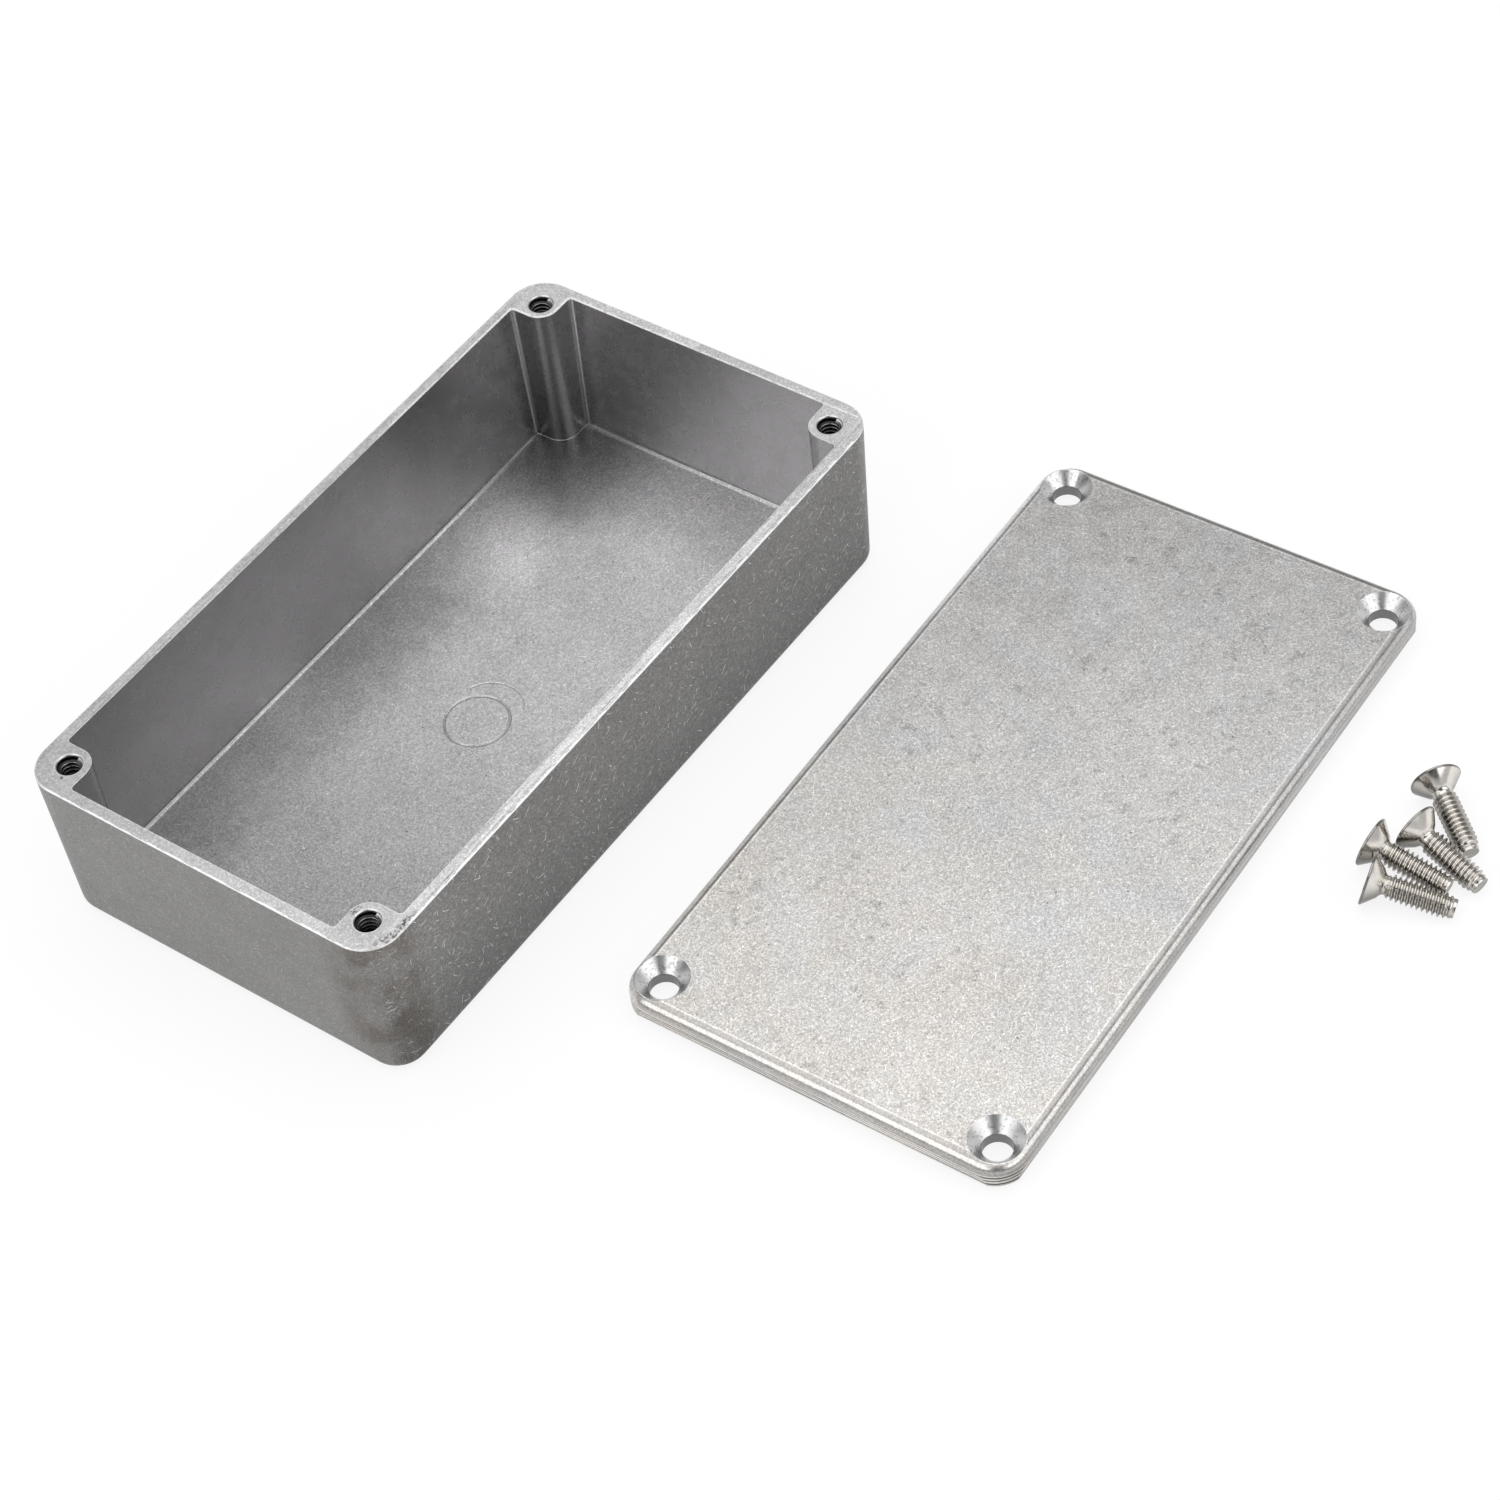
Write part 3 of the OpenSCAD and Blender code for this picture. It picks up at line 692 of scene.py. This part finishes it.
def thread_ribbon(bm, pitch, core, outer, start, turns, segments):
    """One pitch of a V thread, screwed about Z through a number of turns so that the turns join up."""
    outline = [(core, 0.0), (core, 0.12), (outer, 0.46), (outer, 0.60), (core, 0.94), (core, 1.0)]
    verts = [bm.verts.new((radius, 0, start + part * pitch)) for radius, part in outline]
    edges = [bm.edges.new(pair) for pair in zip(verts, verts[1:])]
    bmesh.ops.spin(bm, geom=verts + edges, cent=(0, 0, 0), axis=(0, 0, 1), dvec=(0, 0, pitch / segments),
                   angle=math.tau * turns, steps=segments * turns, use_merge=False)
    bmesh.ops.remove_doubles(bm, verts=bm.verts, dist=0.004 * MM)


def cut_level(bm, height, keep_above):
    """Cuts a bmesh off level at a height and keeps what is above or below it."""
    whole = bm.verts[:] + bm.edges[:] + bm.faces[:]
    bmesh.ops.bisect_plane(bm, geom=whole, dist=1e-7, plane_co=(0, 0, height), plane_no=(0, 0, 1),
                           clear_inner=keep_above, clear_outer=not keep_above)


def change_radius(bm, wanted):
    """Moves each vertex to the distance from Z that wanted(radius, z) gives."""
    for vert in bm.verts:
        radius = math.hypot(vert.co.x, vert.co.y)
        factor = wanted(radius, vert.co.z) / radius
        vert.co.x *= factor
        vert.co.y *= factor


def screw_mesh(settings):
    """A countersunk screw with its head's face at the origin and its shank along +Z."""
    core, outer, pitch = settings.thread_core, settings.thread_outer, settings.thread_pitch
    head, length, segments = settings.head_radius, settings.screw_length, settings.segments
    neck, lead = SCREW_NECK * MM, length - SCREW_LEAD * MM
    bm = bmesh.new()
    turns = math.ceil((length - neck) / pitch) + 2
    thread_ribbon(bm, pitch, core, outer, neck - pitch, turns, segments)
    cut_level(bm, neck, True)
    cut_level(bm, length, False)

    def run_out_and_taper(radius, z):
        runout = core + (outer - core) * min(1, (z - neck) / (0.7 * MM))
        taper = outer - (outer - core) * max(0, (z - lead) / (length - lead))
        return min(radius, max(core, min(runout, taper)))
    change_radius(bm, run_out_and_taper)
    bmesh.ops.remove_doubles(bm, verts=bm.verts, dist=0.002 * MM)
    open_edges = [e for e in bm.edges if e.is_boundary]
    tip = [e for e in open_edges if all(v.co.z > length - 0.01 * MM for v in e.verts)]
    throat = [e for e in open_edges if all(v.co.z < neck + 0.01 * MM for v in e.verts)]

    # the blunt end is a little dished, as it comes from the header
    dish = core - 0.16 * MM
    ring = widen(bm, tip, dish, 0.0, core)
    ring = widen(bm, ring, 0.75 * MM, -0.14 * MM, dish)
    bmesh.ops.holes_fill(bm, edges=ring, sides=0)

    # the head: from the throat up its fillet and cone, round the rim and over the face
    radius, level, ring = core, neck, throat
    for new_radius, new_level in ((1.36, 2.42), (1.50, 2.27), (1.70, 2.10), (2.0, 1.92), (3.42, 0.37),
                                  (3.5, 0.28), (3.5, 0.07), (3.44, 0.0), (3.0, 0.0)):
        new_radius, new_level = new_radius * head / HEAD_RADIUS, new_level * MM
        ring = widen(bm, ring, new_radius, new_level - level, radius)
        radius, level = new_radius, new_level
    bmesh.ops.holes_fill(bm, edges=ring, sides=0)
    bmesh.ops.recalc_face_normals(bm, faces=bm.faces)

    # the second material is for the thread, and the third for the head's edge, which gets painted shade
    for face in bm.faces:
        middle = face.calc_center_median()
        on_edge = math.hypot(middle.x, middle.y) > 0.975 * head
        face.material_index = 2 if on_edge else int(middle.z > neck - 0.1 * MM)
    return bm


def tapped_thread_mesh(settings):
    """The threads of the four tapped holes, as ridges that stand in from the bores and fade at the mouth."""
    pitch, segments, bore = settings.thread_pitch, settings.segments, settings.thread_outer
    crest, root = TAP_CREST * MM, bore + 0.05 * MM
    top = (RIM_HEIGHT - TAP_START) * MM
    turns = int((settings.tap_depth - 0.4 * MM) / pitch)
    bm = bmesh.new()
    outline = ((root, 0.02), (crest, 0.40), (crest, 0.52), (root, 0.90))
    verts = [bm.verts.new((radius, 0, top - turns * pitch - part * pitch)) for radius, part in outline]
    profile = bm.faces.new(verts)
    bmesh.ops.spin(bm, geom=[profile], cent=(0, 0, 0), axis=(0, 0, 1), dvec=(0, 0, pitch / segments),
                   angle=math.tau * turns, steps=segments * turns, use_merge=False)

    def fade_at_mouth(radius, z):
        return max(radius, bore - (bore - crest) * min(1, max(0, (top - z) / (0.12 * MM))))
    change_radius(bm, fade_at_mouth)
    ridge = bm.verts[:] + bm.edges[:] + bm.faces[:]
    for x, y in ((-1, 1), (1, -1), (-1, -1)):
        copy = bmesh.ops.duplicate(bm, geom=ridge)["geom"]
        bmesh.ops.translate(bm, vec=(x * HOLE_X * MM, y * HOLE_Y * MM, 0),
                            verts=[g for g in copy if isinstance(g, bmesh.types.BMVert)])
    bmesh.ops.translate(bm, vec=(HOLE_X * MM, HOLE_Y * MM, 0),
                        verts=[g for g in ridge if isinstance(g, bmesh.types.BMVert)])
    return bm


def recess_cutter():
    """A cross recess, wider and longer at the head's face than at its bottom."""
    bm = bmesh.new()
    bmesh.ops.create_cube(bm, size=RECESS_WIDTH * MM)
    bmesh.ops.scale(bm, vec=(1, 1, 2.6), verts=bm.verts)
    for face in [f for f in bm.faces if abs(f.normal.z) < 0.5]:
        way = face.normal.copy()
        made = bmesh.ops.extrude_discrete_faces(bm, faces=[face])["faces"]
        bmesh.ops.translate(bm, vec=way * RECESS_REACH * MM, verts=[v for f in made for v in f.verts])
    for vert in bm.verts:
        deep = vert.co.z > 0
        vert.co.z = RECESS_DEPTH * MM if deep else -0.4 * MM
        if deep:
            vert.co.x *= 0.35
            vert.co.y *= 0.35
    mesh = bpy.data.meshes.new("recess cutter")
    bm.to_mesh(mesh)
    bm.free()
    cutter = bpy.data.objects.new("recess cutter", mesh)
    bpy.context.scene.collection.objects.link(cutter)
    return cutter


def with_recess(piece):
    """Cuts the cross recess into a screw's head and keeps the result as its mesh."""
    cutter = recess_cutter()
    cut = piece.modifiers.new("recess", "BOOLEAN")
    cut.operation, cut.solver, cut.object = "DIFFERENCE", "EXACT", cutter
    bpy.context.view_layer.update()
    done = bpy.data.meshes.new_from_object(piece.evaluated_get(bpy.context.evaluated_depsgraph_get()))
    piece.modifiers.clear()
    old, piece.data = piece.data, done
    bpy.data.meshes.remove(old)
    bpy.data.objects.remove(cutter)


# The stage


def studio_floor(scene):
    """White paper that keeps the object's shadow. In reflections it is white too, but less bright."""
    mesh = bpy.data.meshes.new("floor")
    bm = bmesh.new()
    bmesh.ops.create_grid(bm, x_segments=1, y_segments=1, size=6)
    bm.to_mesh(mesh)
    bm.free()
    floor = bpy.data.objects.new("floor", mesh)
    scene.collection.objects.link(floor)
    material, tree = new_material("Studio paper")
    new = partial(add, tree)
    path = new("LightPath").outputs
    seen = new("Math", path["Is Camera Ray"], path["Is Glossy Ray"], **LARGER)
    seen = new("Math", seen, path["Is Transmission Ray"], **LARGER)
    paper = new("Mix", seen, colour("C8C8C8"), colour("FCFCFC"), data_type="RGBA")
    white = new("Emission", (1.0, 1.0, 1.0, 1.0), 1.0)
    own = new("Mix", path["Is Camera Ray"], new("Math", seen, 0.72, **TIMES), 0.85)
    new("OutputMaterial", new("MixShader", own, new("BsdfDiffuse", paper), white))
    mesh.materials.append(material)


def studio_world(scene):
    """A soft grey room, with a dark gap above the lit table on the camera's side."""
    world = bpy.data.worlds.new("Studio")
    scene.world = world
    world.use_nodes = True
    tree = world.node_tree
    tree.nodes.clear()
    new = partial(add, tree)
    way = new("TexCoord").outputs["Generated"]
    height = new("SeparateXYZ", way).outputs["Z"]
    away = new("VectorMath", way, AWAY, **DOT)
    beside = new("VectorMath", way, BESIDE, **DOT)
    sky = new("MapRange", height, 0.05, 0.7, new("MapRange", away, -0.6, 0.6, 0.56, 0.42), 0.44, **SMOOTH)
    dark = new("MapRange", new("Math", beside, **SIZE), 0.36, 0.26, **SMOOTH)
    dark = new("Math", dark, new("MapRange", away, -0.15, -0.3, **SMOOTH), **TIMES)
    dark = new("Math", dark, new("MapRange", height, 0.14, 0.26, **SMOOTH), **TIMES)
    sky = new("Math", sky, new("MapRange", dark, 0.0, 1.0, 1.0, 0.15), **TIMES)
    new("OutputWorld", new("Background", (1.0, 1.0, 1.0, 1.0), sky))


def studio_lights(scene):
    """A large round softbox overhead and a wide one at each side. The distances and sizes are in metres."""
    for name, shape, way, far, width, height, radiance in (
            ("top softbox", "DISK", (0.08, 0.07, 1.0), 2.4, 3.5, 3.5, 1.4),
            ("left softbox", "RECTANGLE", (-0.80, 0.17, 0.58), 2.6, 2.6, 1.7, 1.3),
            ("right softbox", "RECTANGLE", (0.07, -0.84, 0.54), 2.6, 3.0, 1.5, 1.3)):
        light = bpy.data.lights.new(name, "AREA")
        light.shape, light.size, light.size_y = shape, width, height
        light.energy = radiance * math.pi * width * height * (math.pi / 4 if shape == "DISK" else 1)
        lamp = bpy.data.objects.new(name, light)
        way = Vector(way).normalized()
        turn = way.to_track_quat("Z", "Y").to_matrix().to_4x4()
        lamp.matrix_world = Matrix.Translation(Vector(SCENE_MIDDLE) * MM + way * far) @ turn
        scene.collection.objects.link(lamp)


def studio_camera(scene):
    data = bpy.data.cameras.new("camera")
    data.sensor_width = 36
    data.lens = FOCAL_LENGTH * data.sensor_width / PHOTO_WIDTH
    data.shift_x, data.shift_y = CAMERA_SHIFT
    data.clip_start, data.clip_end = 0.01, 50
    camera = bpy.data.objects.new("camera", data)
    forward = Vector(CAMERA_FORWARD).normalized()
    right = Vector(CAMERA_RIGHT)
    right = (right - right.dot(forward) * forward).normalized()
    turn = Matrix((right, right.cross(forward), -forward)).transposed().to_4x4()
    camera.matrix_world = Matrix.Translation(Vector(CAMERA_PLACE) * MM) @ turn
    scene.collection.objects.link(camera)
    scene.camera = camera


# Operators


class CASTBOX_OT_studio(bpy.types.Operator):
    """Sets up the floor, the soft lights and the camera"""
    bl_idname = "castbox.studio"
    bl_label = "Set up the studio"

    def execute(self, context):
        context.scene.view_settings.view_transform = "Standard"
        studio_floor(context.scene)
        studio_world(context.scene)
        studio_lights(context.scene)
        studio_camera(context.scene)
        return {"FINISHED"}


class CASTBOX_OT_body(bpy.types.Operator):
    """Gives the cast box its tumbled finish"""
    bl_idname = "castbox.body"
    bl_label = "Finish the box"

    def execute(self, context):
        settings = context.scene.cast_box
        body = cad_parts["box_body"]
        finish = box_material(tuple(settings.inner_alloy), tuple(settings.outer_alloy))
        body.material_slots[0].material = finish
        return {"FINISHED"}


class CASTBOX_OT_lid(bpy.types.Operator):
    """Gives the lid its ground top and machined screw seats"""
    bl_idname = "castbox.lid"
    bl_label = "Finish the lid"

    def execute(self, context):
        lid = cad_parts["lid"]
        lid.material_slots[0].material = lid_material(tuple(context.scene.cast_box.lid_alloy))
        return {"FINISHED"}


class CASTBOX_OT_tapped_threads(bpy.types.Operator):
    """Cuts the threads into the four corner bosses"""
    bl_idname = "castbox.tapped_threads"
    bl_label = "Tap the corner bosses"

    def execute(self, context):
        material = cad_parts["box_body"].material_slots[0].material
        finish_piece("tapped_threads", tapped_thread_mesh(context.scene.cast_box), [material])
        return {"FINISHED"}


class CASTBOX_OT_screws(bpy.types.Operator):
    """Makes the four countersunk screws, with their threads and cross recesses"""
    bl_idname = "castbox.screws"
    bl_label = "Make the screws"

    def execute(self, context):
        settings = context.scene.cast_box
        plating = tuple(settings.nickel)
        # the numbers are the tone, the painted shade of the sides that face the table, and the roughness
        materials = (nickel_material("Bright nickel plate", plating, 1.1, 0.24, 0.17),
                     nickel_material("Nickel plate on the rolled thread", plating, 0.85, 0.5, 0.2),
                     nickel_material("Nickel plate, with painted shade on the head's edge", plating, 0.4, 0.6, 0.2))
        # each screw lies on its head's edge and on its thread, where the thread starts to taper
        head, lead, land = settings.head_radius, settings.screw_length - SCREW_LEAD * MM, HEAD_LAND * MM
        lie = math.atan((head - settings.thread_outer) / (lead - land))
        lie_height = head * math.cos(lie) + land * math.sin(lie)
        for number, (node, (x, y, turn)) in enumerate(SCREW_PLACES.items()):
            piece = finish_piece(node + "_threaded", screw_mesh(settings), materials)
            with_recess(piece)
            roll = Matrix.Rotation(math.radians(35 + 70 * number), 4, "Z")
            place = Matrix.Translation((x * MM, y * MM, lie_height))
            place = place @ Matrix.Rotation(math.radians(turn), 4, "Z") @ Matrix.Rotation(lie, 4, "Y")
            place = place @ Matrix.Rotation(math.radians(90), 4, "Y") @ roll
            piece.data.transform(place)
            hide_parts(node)
        return {"FINISHED"}


class CASTBOX_PT_panel(bpy.types.Panel):
    """The cast box's sizes, colours and pieces"""
    bl_idname = "CASTBOX_PT_panel"
    bl_label = "Cast box"
    bl_space_type = "VIEW_3D"
    bl_region_type = "UI"
    bl_category = "Cast box"

    def draw(self, context):
        settings = context.scene.cast_box
        for name in settings.__annotations__:
            self.layout.prop(settings, name)
        for operator in OPERATORS:
            self.layout.operator(operator.bl_idname)


OPERATORS = (CASTBOX_OT_studio, CASTBOX_OT_body, CASTBOX_OT_lid, CASTBOX_OT_tapped_threads, CASTBOX_OT_screws)
CLASSES = (CastBoxSettings, *OPERATORS, CASTBOX_PT_panel)


def register():
    for cls in CLASSES:
        bpy.utils.register_class(cls)
    bpy.types.Scene.cast_box = PointerProperty(type=CastBoxSettings)


def unregister():
    del bpy.types.Scene.cast_box
    for cls in reversed(CLASSES):
        bpy.utils.unregister_class(cls)


def main():
    register()
    bpy.ops.castbox.studio()
    bpy.ops.castbox.body()
    bpy.ops.castbox.lid()
    bpy.ops.castbox.tapped_threads()
    bpy.ops.castbox.screws()
    bpy.context.view_layer.update()


if __name__ == "__main__":
    main()
